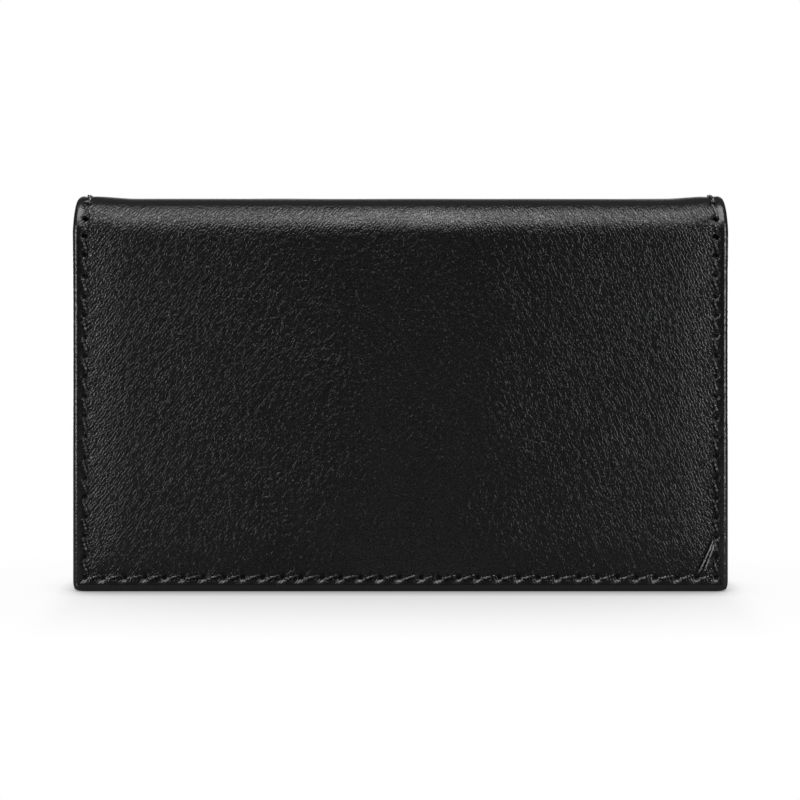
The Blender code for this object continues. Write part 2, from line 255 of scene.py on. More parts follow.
def seam_holes(stitches, side):
    """The needle holes of one half: down its left side, along its foot and up its right side."""
    reach = HALF_WIDTH - stitches.inset
    corners = (
        (-reach, MIDDLE, stitches.side_count),
        (-reach, stitches.inset + FOOT_SHIFT, stitches.foot_count),
        (reach, stitches.inset + FOOT_SHIFT, stitches.side_count),
        (reach, MIDDLE, 0),
    )
    holes = []
    for (x0, s0, count), (x1, s1, _) in zip(corners, corners[1:]):
        along = Vector((x1 - x0, s1 - s0)).normalized()
        for step in range(count):
            point = Vector((x0, s0)).lerp(Vector((x1, s1)), step / count)
            if step:
                point += along * stitches.unevenness * stray(side, len(holes) * 1.7) * 2
            holes.append(point)
    holes.append(Vector(corners[-1][:2]))
    return holes


class Relief:
    """The depth of the outer leather under its flat face: the swell at the fold, the fall towards the seam,
    the seam's holes and the folds that they pull, and the crease under the long corner stitch."""

    welt_rise = 1.5 * MM  # Distance outside the seam over which the welt rises
    flat_at_top = 0.85  # Share of the seam's valley that is lost at the fold's top
    pull_reach = 4 * MM  # How far inside the seam the stitches pull
    pull_lean = 0.6  # How much the pulled folds lean
    pull_width = 0.75 * MM
    pull_spread = 0.6  # How much one hole's pull differs from the next
    pull_inside = 0.9 * MM  # Distances over which the folds fade on either side of the seam
    pull_outside = 1.3 * MM
    sway_height = 0.05 * MM
    sway_length = 14 * MM
    sway_start = 6 * MM  # Inset from which the face sways fully
    worn_rim = 1.1 * MM
    worn_ease = 0.7 * MM
    worn_turn = math.radians(48)  # Angle round the fold at which the worn top begins
    worn_blend = math.radians(12)
    corner_reach = 0.2  # Share of the long stitch over which its crease starts and ends
    corner_folds = (  # Depth in millimetres, place beside the long stitch and width of a crease and a ridge
        (0.28, 0.42 * MM, 0.2 * MM),
        (-0.12, -0.6 * MM, 0.4 * MM),
    )

    def __init__(self, leather, stitches, side):
        self.leather = leather
        self.stitches = stitches
        self.side = side
        self.holes = seam_holes(stitches, side)
        self.tree = kdtree.KDTree(len(self.holes))
        for index, hole in enumerate(self.holes):
            self.tree.insert((hole.x, hole.y, 0), index)
        self.tree.balance()

    def swell(self, s):
        """How far the face lies behind the fold's own round."""
        leather = self.leather
        slope = leather.swell / leather.swell_reach
        ease = leather.swell_reach / 2
        if s > STRAIGHT:
            return slope * ease / 2 * max(1 - (s - STRAIGHT) / ease, 0) ** 2
        return slope * ease / 2 + leather.swell * (1 - math.exp((s - STRAIGHT) / leather.swell_reach))

    def fall(self, inset):
        """How far the face has fallen at an inset, by a slope that is steady at first and then eases."""
        leather = self.leather
        steady = max(leather.slope_end - inset, 0)
        share = min(max((inset - leather.slope_end) / leather.slope_ease, 0), 1)
        eased = leather.slope_ease * (0.5 - share + share**3 - share**4 / 2)
        return leather.side_slope * (steady + eased)

    def base(self, x, s):
        """The depth without the needle holes and what they pull."""
        leather = self.leather
        inset = inset_of(x, s)
        seam = self.fall(max(inset, self.stitches.inset))
        outside = smoothstep((self.stitches.inset - inset) / self.welt_rise)
        depth = seam + outside * (leather.crown_depth - seam)
        turn = max(s - STRAIGHT, 0) / FOLD_RADIUS
        return self.swell(s) + depth * (1 - self.flat_at_top * math.sin(turn) ** 2)

    def seam(self, x, s):
        """The dents at the needle holes and the folds that they pull into the leather."""
        stitches = self.stitches
        off = inset_of(x, s) - stitches.inset
        if off > self.pull_reach:
            return 0
        lean = self.pull_lean * off
        on_side = HALF_WIDTH - abs(x) < s - FOOT_SHIFT
        query = (x, s + lean * (-1 if x < 0 else 1), 0) if on_side else (x - lean, s, 0)
        place, index, _ = self.tree.find(query)
        gap = abs(query[1] - place.y) if on_side else abs(query[0] - place.x)
        pull = 1 + self.pull_spread * stray(self.side + 5, index * 2.3)
        ridge = math.exp(-((gap / self.pull_width) ** 2))
        spread = math.exp(-off / self.pull_inside) if off > 0 else smoothstep(1 + off / self.pull_outside)
        straight = math.hypot(x - place.x, s - place.y)
        dent = stitches.hole_depth * math.exp(-((straight / stitches.hole_radius) ** 3))
        return stitches.pucker * pull * ridge * spread + dent

    def corner(self, x, s):
        """The crease beside the long stitch across the front's lower right corner."""
        if self.side == BACK:
            return 0
        start, end = corner_ends(self.stitches)
        along = end - start
        offset = Vector((x, s)) - start
        share = offset.dot(along) / along.length_squared
        aside = offset.cross(along) / along.length
        reach = self.corner_reach
        ends = smoothstep((share + reach / 2) / reach) * smoothstep((1 + reach / 2 - share) / reach)
        depth = 0
        for height, place, width in self.corner_folds:
            depth += height * math.exp(-(((aside - place) / width) ** 2))
        return ends * depth * MM

    def __call__(self, x, s):
        inset = inset_of(x, s)
        wave = stray(self.side + 9, x / self.sway_length, s / self.sway_length)
        sway = self.sway_height * wave * smoothstep(inset / self.sway_start)
        return min(self.base(x, s) + self.seam(x, s) + self.corner(x, s) + sway, self.leather.deepest)

    def worn(self, x, s):
        """How far the grain is pressed smooth, from 0 to 1: on the turned rim and along the fold's top."""
        inset = inset_of(x, s)
        rim = 1 - smoothstep((inset - self.worn_rim) / self.worn_ease)
        top = smoothstep(((s - STRAIGHT) / FOLD_RADIUS - self.worn_turn) / self.worn_blend)
        return max(rim, top)

    def hole_shade(self, x, s):
        """How far a point lies inside a needle hole, from 0 to 1. The material paints the holes darker and
        without polish, as painted shade.
        """
        place, _, _ = self.tree.find((x, s, 0))
        return math.exp(-((math.hypot(x - place.x, s - place.y) / self.stitches.hole_radius) ** 4))


def corner_ends(stitches):
    """The two ends of the long corner stitch: about two stitches up the side and one along the foot."""
    reach = HALF_WIDTH - stitches.inset
    low = stitches.inset + FOOT_SHIFT
    up = 1.75 * (MIDDLE - low) / stitches.side_count
    along = 0.85 * 2 * reach / stitches.foot_count
    return Vector((reach + 0.1 * MM, low + up + 0.9 * MM)), Vector((reach - along, low - 0.1 * MM))


# Mesh tools


def face_grid(left, right, low, high, cell):
    """A flat grid in the layout, with cells as near to square as fit."""
    mesh = bmesh.new()
    middle = Matrix.Translation(((left + right) / 2, (low + high) / 2, 0))
    scale = Matrix.Diagonal((right - left, high - low, 1, 1))
    bmesh.ops.create_grid(
        mesh,
        x_segments=round((right - left) / cell),
        y_segments=round((high - low) / cell),
        size=0.5,
        matrix=middle @ scale,
    )
    return mesh


def refine(mesh, reach, cuts):
    """Divides the cells that lie less than reach in from the sheet's edge."""
    edges = set()
    for face in mesh.faces:
        if inset_of(*face.calc_center_median().xy) < reach:
            edges.update(face.edges)
    bmesh.ops.subdivide_edges(mesh, edges=list(edges), cuts=cuts, use_grid_fill=True)


class Sheet:
    """A closed sheet in the layout, from its visible face round its edge to its hidden face. Its upper end is
    open until close(), because it meets the other half there."""

    def __init__(self, mesh):
        self.mesh = mesh
        self.place = mesh.verts.layers.float_vector.new("place")
        xs = [vertex.co.x for vertex in mesh.verts]
        self.left, self.right = min(xs), max(xs)
        self.low = min(vertex.co.y for vertex in mesh.verts)
        for vertex in mesh.verts:
            vertex[self.place] = (vertex.co.x, vertex.co.y, 0)
        self.border = [edge for edge in mesh.edges if edge.is_boundary and not self.at_top(edge)]

    def at_top(self, edge):
        return all(abs(vertex.co.y - MIDDLE) < 1e-6 for vertex in edge.verts)

    def relief(self, depth):
        for vertex in self.mesh.verts:
            vertex.co.z = depth(vertex.co.x, vertex.co.y)

    def mark(self, name, share):
        """Keeps a value for each point of the visible face, for the material."""
        layer = self.mesh.verts.layers.float.new(name)
        for vertex in self.mesh.verts:
            vertex[layer] = share(vertex.co.x, vertex.co.y)

    def outwards(self, x, s):
        """The direction out of the sheet at a point of its border, turning gradually round each corner."""
        across = min(x - self.left, self.right - x)
        along = s - self.low
        way = -1 if x < (self.left + self.right) / 2 else 1
        turn = math.pi / 4 * max(1 - max(across, along) / CORNER_FAN, 0)
        if across < along:
            return Vector((way * math.cos(turn), -math.sin(turn)))
        return Vector((way * math.sin(turn), -math.cos(turn)))

    def ring(self, outset, depth, keep=0.0):
        """Extrudes the border to a new ring. keep is how much of its own relief stays in the ring's depth."""
        made = bmesh.ops.extrude_edge_only(self.mesh, edges=self.border)["geom"]
        verts = {item for item in made if isinstance(item, bmesh.types.BMVert)}
        self.border = [
            item for item in made if isinstance(item, bmesh.types.BMEdge) and verts.issuperset(item.verts)
        ]
        for vertex in verts:
            x, s, extra = vertex[self.place]
            if outset >= 0:
                moved = Vector((x, s)) + self.outwards(x, s) * outset
            else:
                across = min(max(x, self.left - outset), self.right + outset)
                moved = Vector((across, min(max(s, self.low - outset), MIDDLE)))
            vertex.co = (moved.x, moved.y, depth + keep * extra)

    def keep_relief(self, nominal):
        """Remembers how far the border's own depth lies from its nominal depth."""
        for edge in self.border:
            for vertex in edge.verts:
                x, s, _ = vertex[self.place]
                vertex[self.place] = (x, s, vertex.co.z - nominal)

    def close(self):
        """Fills the hidden face, with rows of edges where it bends round the fold, and then the upper end."""
        mesh = self.mesh
        last = {vertex for edge in self.border for vertex in edge.verts}
        bmesh.ops.remove_doubles(mesh, verts=list(last), dist=1e-7)
        last = {vertex for vertex in last if vertex.is_valid}
        chain = [edge for edge in mesh.edges if edge.is_boundary and last.issuperset(edge.verts)]
        ends = [vertex for vertex in last if sum(edge in chain for edge in vertex.link_edges) == 1]
        chain.append(mesh.edges.new(ends))
        hidden = bmesh.ops.contextual_create(mesh, geom=chain)["faces"]
        for row in range(FOLD_ROWS):
            height = STRAIGHT + (MIDDLE - STRAIGHT) * row / FOLD_ROWS
            around = {item for face in hidden for item in (*face.verts, *face.edges)}
            cut = bmesh.ops.bisect_plane(
                mesh, geom=[*hidden, *around], plane_co=(0, height, 0), plane_no=(0, 1, 0)
            )
            hidden = [item for item in cut["geom"] if isinstance(item, bmesh.types.BMFace)]
        bmesh.ops.contextual_create(mesh, geom=[edge for edge in mesh.edges if edge.is_boundary])


def write_uv(mesh):
    """Keeps each point's place in the flat layout as a UV map."""
    layer = mesh.loops.layers.uv.new(UV_NAME)
    for face in mesh.faces:
        for loop in face.loops:
            x, s, _ = loop.vert.co
            loop[layer].uv = (0.5 + x / UV_SPAN, s / UV_SPAN)


def turn_outwards(mesh):
    bmesh.ops.recalc_face_normals(mesh, faces=mesh.faces)
    if mesh.calc_volume(signed=True) < 0:
        bmesh.ops.reverse_faces(mesh, faces=mesh.faces)


def make_piece(name, mesh, leather, side, slot):
    """Folds a piece shut and finishes it: smooth, with its faces outwards, in the record's slot."""
    for vertex in mesh.verts:
        vertex.co = folded(leather, side, *vertex.co)
    turn_outwards(mesh)
    data = bpy.data.meshes.new(name)
    mesh.to_mesh(data)
    mesh.free()
    data.shade_smooth()
    data.materials.append(material(slot))
    piece = bpy.data.objects.new(name, data)
    bpy.context.scene.collection.objects.link(piece)
    return piece


def join_halves(piece):
    """Gives the middle of the fold the same normals on both halves, so that the joint doesn't show."""
    data = piece.data
    upper = [vertex for vertex in data.vertices if vertex.co.z > STRAIGHT]
    on_joint = {vertex.index for vertex in upper if abs(vertex.co.y) < 1e-6}
    caps = {face.index for face in data.polygons if on_joint.issuperset(face.vertices)}
    cap_edges = {key for index in caps for key in data.polygons[index].edge_keys}
    for edge in data.edges:
        if edge.key in cap_edges:
            edge.use_edge_sharp = True
    normals = [Vector() for _ in data.loops]
    for face in data.polygons:
        if face.index in caps:
            continue
        for loop in face.loop_indices:
            if data.loops[loop].vertex_index in on_joint:
                level = data.corner_normals[loop].vector.copy()
                level.y = 0
                normals[loop] = level.normalized()
    data.normals_split_custom_set(normals)


def blend_half(piece):
    """Bakes a half's placement into its mesh."""
    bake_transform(piece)


# Stitches


def stitch_shape(radius, rings, turns, arch):
    """One stitch along x from 0 to 1: two plies twisted together, diving at both ends.

    Its y and z are real sizes, and arch is how far its middle rises over its ends.
    """
    plies = (1.0, 0.75, 0.75, 1.0, 0.75, 0.75)  # The outline of two plies, in shares of the radius
    dive = 0.2  # Share of the stitch over which it sinks at each end
    bunch = 0.05  # How far its rings move towards its middle
    mesh = bmesh.new()
    stand = Matrix.Rotation(math.pi / 2, 4, "Y")
    bmesh.ops.create_circle(mesh, cap_ends=True, segments=len(plies), radius=radius, matrix=stand)
    for vertex, share in zip(mesh.verts, plies):
        vertex.co *= share
    face = next(iter(mesh.faces))
    for _ in range(rings):
        made = bmesh.ops.extrude_face_region(mesh, geom=[face])["geom"]
        face = next(item for item in made if isinstance(item, bmesh.types.BMFace))
        verts = [item for item in made if isinstance(item, bmesh.types.BMVert)]
        bmesh.ops.rotate(mesh, verts=verts, matrix=Matrix.Rotation(turns * math.tau / rings, 3, "X"))
        bmesh.ops.translate(mesh, verts=verts, vec=(1 / rings, 0, 0))
    layer = mesh.loops.layers.uv.new(UV_NAME)
    for each in mesh.faces:
        for loop in each.loops:
            around = math.atan2(loop.vert.co.y, loop.vert.co.z) / math.tau
            loop[layer].uv = (loop.vert.co.x, 0.5 + around)
    for vertex in mesh.verts:
        t = vertex.co.x
        vertex.co.z += arch * (smoothstep(min(t, 1 - t) / dive) - 1)
        vertex.co.x = t + bunch * math.sin(math.tau * t)
    turn_outwards(mesh)
    data = bpy.data.meshes.new("stitch")
    mesh.to_mesh(data)
    mesh.free()
    return data


def lay_stitch(mesh, shape, start, end, seat, lift, slant):
    """Lays one stitch in the layout between two needle holes.

    seat(x, s) is the depth of the thread's middle, and lift is -1 where it rises towards the outer face.
    """
    begin = len(mesh.verts)
    mesh.from_mesh(shape)
    mesh.verts.ensure_lookup_table()
    along = end - start
    across = Vector((-along.y, along.x)).normalized()
    for vertex in mesh.verts[begin:]:
        t, y, z = vertex.co
        t = STITCH_GAP + t * (1 - 2 * STITCH_GAP)
        bow = slant * math.sin(math.tau * t) * STITCH_BOW
        point = start + along * t + across * (y + slant * (2 * t - 1) - bow)
        vertex.co = (point.x, point.y, seat(point.x, point.y) + lift * z)


def run_stitches(mesh, shape, holes, seat, lift, slant, seed):
    for index, (start, end) in enumerate(zip(holes, holes[1:])):
        own = slant * (1 + SLANT_SPREAD * stray(seed, index * 3.1))
        lay_stitch(mesh, shape, start, end, seat, lift, own)


def spaced(points, pitch):
    """Needle holes at even distances along a path."""
    path = [Vector(point) for point in points]
    spans = [(b - a).length for a, b in zip(path, path[1:])]
    count = round(sum(spans) / pitch)
    holes = []
    for step in range(count + 1):
        left = sum(spans) * step / count
        for start, end, span in zip(path, path[1:], spans):
            if left <= span or end is path[-1]:
                holes.append(start.lerp(end, min(left / span, 1)))
                break
            left -= span
    return holes


# Flat leather pieces


def rounded(box, corner, inset, notch=0):
    """Points round a rectangle with round corners, moved inwards by inset, against the clock from its lower
    right corner. notch is the radius of a half-round cut in the middle of its upper edge."""
    left, right, low, high = box
    radius = max(corner - inset, SMALLEST_CORNER)
    side = inset + radius
    centres = (
        (right - side, low + side),
        (right - side, high - side),
        (left + side, high - side),
        (left + side, low + side),
    )
    points = []
    for turn, (x, s) in enumerate(centres):
        if turn == 2 and notch:
            reach = notch + inset
            dip = math.asin(inset / reach)
            for step in range(NOTCH_STEPS + 1):
                angle = -dip - step / NOTCH_STEPS * (math.pi - 2 * dip)
                points.append(((left + right) / 2 + reach * math.cos(angle), high + reach * math.sin(angle)))
        for step in range(CORNER_STEPS + 1):
            angle = (turn - 1 + step / CORNER_STEPS) * math.pi / 2
            points.append((x + radius * math.cos(angle), s + radius * math.sin(angle)))
    return points


def add_loop(mesh, points, depth):
    made = bmesh.ops.create_circle(mesh, segments=len(points), radius=MM)["verts"]
    for vertex, (x, s) in zip(made, points):
        vertex.co = (x, s, depth)
    return list({edge for vertex in made for edge in vertex.link_edges})


# Insets of a flat piece's rings, and their depths as shares of its thickness: from the shown side over a
# creased line and the soft edge to the hidden side
EDGE_RINGS = (
    (1.6 * MM, 0.0),
    (1.25 * MM, 0.02),
    (1.0 * MM, 0.12),
    (0.85 * MM, 0.14),
    (0.6 * MM, -0.03),
    (0.3 * MM, 0.02),
    (0.1 * MM, 0.16),
    (0.0, 0.42),
    (0.0, 0.7),
    (0.1 * MM, 0.94),
    (0.3 * MM, 1.0),
)


def flat_piece(outlines, face, back):
    """A flat leather piece with soft edges and a creased line along them. Each of outlines gives the points
    of an edge for an inset; face is the depth of its shown side and back that of its hidden side."""
    thick = face - back
    mesh = bmesh.new()
    shown, hidden = [], []
    for outline in outlines:
        loops = [add_loop(mesh, outline(inset), face - thick * share) for inset, share in EDGE_RINGS]
        for one, other in zip(loops, loops[1:]):
            bmesh.ops.bridge_loops(mesh, edges=one + other)
        shown += loops[0]
        hidden += loops[-1]
    for edges in (shown, hidden):
        bmesh.ops.triangle_fill(mesh, use_beauty=True, edges=edges)
    write_uv(mesh)
    return mesh


# Shader groups

RIDGE_PITCH = 0.48  # Distance between the calf's ridges in millimetres
WRINKLE_STRETCH = 3.6
COLOUR_TONES = (0.35, 0.85)  # Tones at which a surface has its darkest and its lightest colour
ROUGHNESS_TONES = (0.3, 1.1)


class Tree:
    """Adds nodes to a node tree and links them."""

    def __init__(self, tree):
        self.tree = tree

    def add(self, kind, inputs=(), **settings):
        """A new node. inputs maps its sockets to values or to other nodes' outputs."""
        node = self.tree.nodes.new("ShaderNode" + kind)
        for name, value in settings.items():
            setattr(node, name, value)
        for name, value in dict(inputs).items():
            self.feed(node.inputs[name], value)
        return node

    def feed(self, socket, value):
        if isinstance(value, bpy.types.NodeSocket):
            self.tree.links.new(value, socket)
        else:
            socket.default_value = value

    def math(self, operation, *values):
        node = self.add("Math", operation=operation)
        for socket, value in zip(node.inputs, values):
            self.feed(socket, value)
        return node.outputs[0]

    def mix(self, share, low, high):
        node = self.add("Mix", {"Factor": share}, data_type="FLOAT")
        self.feed(node.inputs[2], low)
        self.feed(node.inputs[3], high)
        return node.outputs[0]


def new_group(name, sockets, outputs):
    """A shader node group with named float or vector inputs and float outputs."""
    tree = bpy.data.node_groups.new(name, "ShaderNodeTree")
    for label, kind, value in sockets:
        socket = tree.interface.new_socket(label, in_out="INPUT", socket_type="NodeSocket" + kind)
        if value is not None:
            socket.default_value = value
    for label in outputs:
        tree.interface.new_socket(label, in_out="OUTPUT", socket_type="NodeSocketFloat")
    nodes = Tree(tree)
    given = tree.nodes.new("NodeGroupInput")
    result = tree.nodes.new("NodeGroupOutput")
    return nodes, given.outputs, result.inputs


def turned(nodes, place, degrees):
    """A place in the layout, turned about the sheet's normal."""
    inputs = {"Vector": place, "Angle": math.radians(degrees)}
    return nodes.add("VectorRotate", inputs, rotation_type="Z_AXIS").outputs[0]


def flat_noise(nodes, place, scale, detail):
    """Noise over the sheet. scale is in cells a millimetre."""
    inputs = {"Vector": place, "Scale": scale, "Detail": detail}
    return nodes.add("TexNoise", inputs, noise_dimensions="2D").outputs[0]


def smooth_range(nodes, value, low, high):
    """Rises softly from 0 to 1 as a value goes from low to high."""
    inputs = {"Value": value, "From Min": low, "From Max": high}
    return nodes.add("MapRange", inputs, interpolation_type="SMOOTHSTEP").outputs[0]


def wrinkles(nodes, place, degrees, seed):
    """Long ripples that run one way."""
    drawn_out = (1 / WRINKLE_STRETCH, 1, 1)
    drawn = nodes.add("Mapping", {"Vector": turned(nodes, place, degrees), "Scale": drawn_out})
    inputs = {
        "Vector": drawn.outputs[0],
        "W": seed,
        "Scale": 0.45,
        "Detail": 2,
        "Roughness": 0.5,
        "Distortion": 0.3,
    }
    return nodes.add("TexNoise", inputs, noise_dimensions="4D").outputs[0]


def ridges(nodes, place, degrees):
    """Fine ridges that run one way and break up where noise bends them."""
    inputs = {
        "Vector": turned(nodes, place, degrees),
        "Scale": math.tau / 20 / RIDGE_PITCH,
        "Distortion": 8,
        "Detail": 2,
        "Detail Scale": 1.75,
        "Detail Roughness": 0.6,
    }
    return nodes.add("TexWave", inputs, bands_direction="Y").outputs["Fac"]


def crest(nodes, ripple):
    """Lines where a ripple crosses its middle value."""
    away = nodes.math("ABSOLUTE", nodes.math("SUBTRACT", ripple, 0.5))
    return nodes.math("SUBTRACT", 1, nodes.math("MINIMUM", nodes.math("MULTIPLY", away, 2.9), 1))


def crossed(nodes, lean, rising, falling):
    """Two ripples laid over each other, brought back to nearly their own contrast where both are weak."""
    rest = nodes.math("SUBTRACT", 1, lean)
    squares = nodes.math("MULTIPLY_ADD", lean, lean, nodes.math("MULTIPLY", rest, rest))
    share = nodes.math("MULTIPLY_ADD", nodes.math("SQRT", squares), 0.6, 0.4)
    away = nodes.math("SUBTRACT", nodes.mix(lean, rising, falling), 0.5)
    return nodes.math("ADD", nodes.math("DIVIDE", away, share), 0.5)


def build_grain_group():
    """Calf: leaning hair creases, fine pebbles and a few longer wrinkles. Lengths are in millimetres."""
    nodes, given, result = new_group(
        "calf_grain",
        (
            ("Place", "Vector", None),
            ("Scale", "Float", 1.0),
            ("Lean", "Float", 0.5),
            ("Wrinkles", "Float", 0.3),
        ),
        ("Height", "Tone", "Top"),
    )
    inputs = {0: given["Place"], "Scale": given["Scale"]}
    scaled = nodes.add("VectorMath", inputs, operation="SCALE").outputs[0]
    leaning = crossed(nodes, given["Lean"], ridges(nodes, scaled, -52), ridges(nodes, scaled, 66))
    pebble = flat_noise(nodes, scaled, 4.5, 1)
    fine = nodes.math("ADD", nodes.math("MULTIPLY", leaning, 0.75), nodes.math("MULTIPLY", pebble, 0.35))
    folds = nodes.mix(given["Lean"], wrinkles(nodes, scaled, -46, 3.0), wrinkles(nodes, scaled, 58, 4.0))
    crease = nodes.math("ABSOLUTE", nodes.math("SUBTRACT", folds, 0.5))
    wrinkle = nodes.math("MINIMUM", nodes.math("MULTIPLY", crease, 12), 1)
    nodes.feed(result["Height"], nodes.math("MULTIPLY_ADD", wrinkle, given["Wrinkles"], fine))
    pebble_tops = nodes.math("MULTIPLY", crest(nodes, pebble), 0.35)
    nodes.feed(result["Top"], nodes.math("MULTIPLY_ADD", crest(nodes, leaning), 0.65, pebble_tops))
    # Tone follows the fine grain's height, so the colour that it drives is darker in the creases, as painted
    # shade; the slow noise adds random tone
    nodes.feed(result["Tone"], nodes.math("MULTIPLY_ADD", fine, 0.6, flat_noise(nodes, scaled, 0.12, 3)))


def build_twill_group():
    """Fine twill: raised diagonal ribs crossed by the weft. Lengths are in millimetres."""
    nodes, given, result = new_group(
        "twill_weave", (("Place", "Vector", None), ("Pitch", "Float", 0.45)), ("Height", "Tone")
    )
    scale = nodes.math("DIVIDE", math.tau, given["Pitch"])
    split = nodes.add("SeparateXYZ", {"Vector": given["Place"]}).outputs
    diagonal = nodes.math("ADD", split[0], split[1])
    rib = nodes.math("SINE", nodes.math("MULTIPLY", diagonal, scale))
    weft = nodes.math("SINE", nodes.math("MULTIPLY", nodes.math("MULTIPLY", split[1], 2.0), scale))
    height = nodes.math("ADD", nodes.math("MULTIPLY", rib, 0.4), nodes.math("MULTIPLY", weft, 0.15))
    fibre = flat_noise(nodes, given["Place"], 3.0, 2)
    nodes.feed(result["Height"], nodes.math("ADD", height, nodes.math("MULTIPLY", fibre, 0.5)))
    nodes.feed(result["Tone"], nodes.math("MULTIPLY_ADD", rib, 0.5, fibre))


def new_material(name):
    """The node adder and the shader of a new material."""
    made = bpy.data.materials.new(name)
    made.use_nodes = True
    return Tree(made.node_tree), made.node_tree.nodes["Principled BSDF"]


def sheet_place(nodes):
    """The flat layout's place in millimetres, from the UV map."""
    source = nodes.add("UVMap", uv_map=UV_NAME)
    size = UV_SPAN / MM
    inputs = {"Vector": source.outputs[0], "Scale": (size, size, 1), "Location": (-size / 2, 0, 0)}
    return nodes.add("Mapping", inputs).outputs[0]


def use_group(nodes, name, inputs):
    node = nodes.add("Group", node_tree=bpy.data.node_groups[name])
    for label, value in inputs.items():
        nodes.feed(node.inputs[label], value)
    return node.outputs


def vary_colour(nodes, shader, share, colour, low, high):
    """Colours the surface from low to high times its colour as a share grows."""
    ramp = nodes.add("ValToRGB", {"Fac": share})
    for element, position, level in zip(ramp.color_ramp.elements, COLOUR_TONES, (low, high)):
        element.position = position
        element.color = (*(level * part for part in colour), 1)
    nodes.feed(shader.inputs["Base Color"], ramp.outputs[0])


def vary_roughness(nodes, shader, share, low, high):
    first, last = ROUGHNESS_TONES
    inputs = {"Value": share, "From Min": first, "From Max": last, "To Min": low, "To Max": high}
    nodes.feed(shader.inputs["Roughness"], nodes.add("MapRange", inputs).outputs[0])


def bump(nodes, shader, height, strength, distance):
    relief = nodes.add("Bump", {"Height": height, "Strength": strength, "Distance": distance})
    nodes.feed(shader.inputs["Normal"], relief.outputs[0])
    nodes.feed(shader.inputs["Coat Normal"], relief.outputs[0])


def leather_material(name, colour, scale, roughness, depth):
    """Calf: a dull ground in the creases and needle holes, and a polished finish on the grain's tops. Its
    colour is painted darker in the grain's creases and in the needle holes as shade, with random tone on top.
    The ridges rise at the left and fall at the right, and the border between them drifts."""
    nodes, shader = new_material(name)
    place = sheet_place(nodes)
    across = nodes.add("SeparateXYZ", {"Vector": place}).outputs[0]
    drift = nodes.math("SUBTRACT", flat_noise(nodes, place, 0.06, 2), 0.5)
    lean = smooth_range(nodes, nodes.math("MULTIPLY_ADD", drift, 45, across), -28, 32)
    grain = use_group(nodes, "calf_grain", {"Place": place, "Scale": scale, "Lean": lean, "Wrinkles": 0.2})
    hole_shade = nodes.add("Attribute", attribute_name="hole_shade").outputs["Fac"]
    worn = nodes.add("Attribute", attribute_name="worn").outputs["Fac"]
    # Painted shade: the colour is darker in the grain's creases and darker still in the needle holes
    vary_colour(nodes, shader, nodes.math("SUBTRACT", grain["Tone"], hole_shade), colour, 0.75, 1.25)
    vary_roughness(nodes, shader, grain["Tone"], 0.65, 0.55)
    bump(nodes, shader, nodes.math("MULTIPLY", grain["Height"], nodes.mix(worn, 1, 0.25)), 1.0, depth)
    tops = nodes.mix(worn, grain["Top"], 0.6)
    top = nodes.add("MapRange", {"Value": tops, "From Min": 0.05, "From Max": 0.9}).outputs[0]
    # Painted shade: the needle holes lose their polish
    polish = nodes.math("MULTIPLY", top, nodes.math("SUBTRACT", 1, hole_shade))
    nodes.feed(shader.inputs["Coat Weight"], polish)
    shader.inputs["Specular IOR Level"].default_value = 0.02
    shader.inputs["Coat Roughness"].default_value = roughness
    shader.inputs["Coat IOR"].default_value = 1.42


def lining_material(name, colour):
    nodes, shader = new_material(name)
    weave = use_group(nodes, "twill_weave", {"Place": sheet_place(nodes), "Pitch": 0.6})
    vary_colour(nodes, shader, weave["Tone"], colour, 0.3, 1.6)
    vary_roughness(nodes, shader, weave["Tone"], 0.9, 0.7)
    bump(nodes, shader, weave["Height"], 1.0, 0.1 * MM)
    shader.inputs["Sheen Weight"].default_value = 0.04
    shader.inputs["Specular IOR Level"].default_value = 0.3


def thread_material(name, colour):
    """Fibres that wind round a stitch, whose UV map runs along it and round it."""
    nodes, shader = new_material(name)
    source = nodes.add("UVMap", uv_map=UV_NAME)
    along, around, _ = nodes.add("SeparateXYZ", {"Vector": source.outputs[0]}).outputs
    twist = nodes.math("MULTIPLY_ADD", along, 8 * math.tau, nodes.math("MULTIPLY", around, 2 * math.tau))
    fibre = nodes.math("MULTIPLY_ADD", nodes.math("SINE", twist), 0.5, 0.5)
    vary_colour(nodes, shader, fibre, colour, 0.6, 1.6)
    vary_roughness(nodes, shader, fibre, 0.4, 0.26)
    bump(nodes, shader, fibre, 1.0, 0.09 * MM)
    shader.inputs["Specular IOR Level"].default_value = 0.5


def board_material(name, colour):
    nodes, shader = new_material(name)
    source = nodes.add("TexCoord").outputs["Object"]
    inputs = {"Vector": source, "Scale": 1800, "Detail": 4, "Roughness": 0.7}
    fibre = nodes.add("TexNoise", inputs).outputs[0]
    vary_colour(nodes, shader, fibre, colour, 0.75, 1.15)
    vary_roughness(nodes, shader, fibre, 0.95, 0.85)
    bump(nodes, shader, fibre, 0.5, 0.05 * MM)


def film_material(name, colour):
    nodes, shader = new_material(name)
    inputs = {"Vector": sheet_place(nodes), "Scale": 0.25, "Detail": 5, "Roughness": 0.6}
    scuff = nodes.add("TexNoise", inputs, noise_dimensions="2D").outputs[0]
    vary_roughness(nodes, shader, scuff, 0.04, 0.12)
    bump(nodes, shader, scuff, 0.2, 0.02 * MM)
    shader.inputs["Base Color"].default_value = (*colour, 1)
    shader.inputs["Transmission Weight"].default_value = 1
    shader.inputs["IOR"].default_value = 1.46


# The finish for each of the record's slots
FINISHES = {
    "black_leather": "black_calf",
    "pocket_leather": "pocket_calf",
    "lining_cloth": "lining_twill",
    "thread": "waxed_thread",
    "board": "fibre_board",
    "clear_film": "glossy_film",
}


def build_materials(colours):
    build_grain_group()
    build_twill_group()
    leather_material(FINISHES["black_leather"], colours.leather, scale=1.0, roughness=0.2, depth=0.058 * MM)
    leather_material(FINISHES["pocket_leather"], colours.pocket, scale=1.2, roughness=0.35, depth=0.02 * MM)
    lining_material(FINISHES["lining_cloth"], colours.lining)
    thread_material(FINISHES["thread"], colours.thread)
    board_material(FINISHES["board"], colours.board)
    film_material(FINISHES["clear_film"], colours.film)


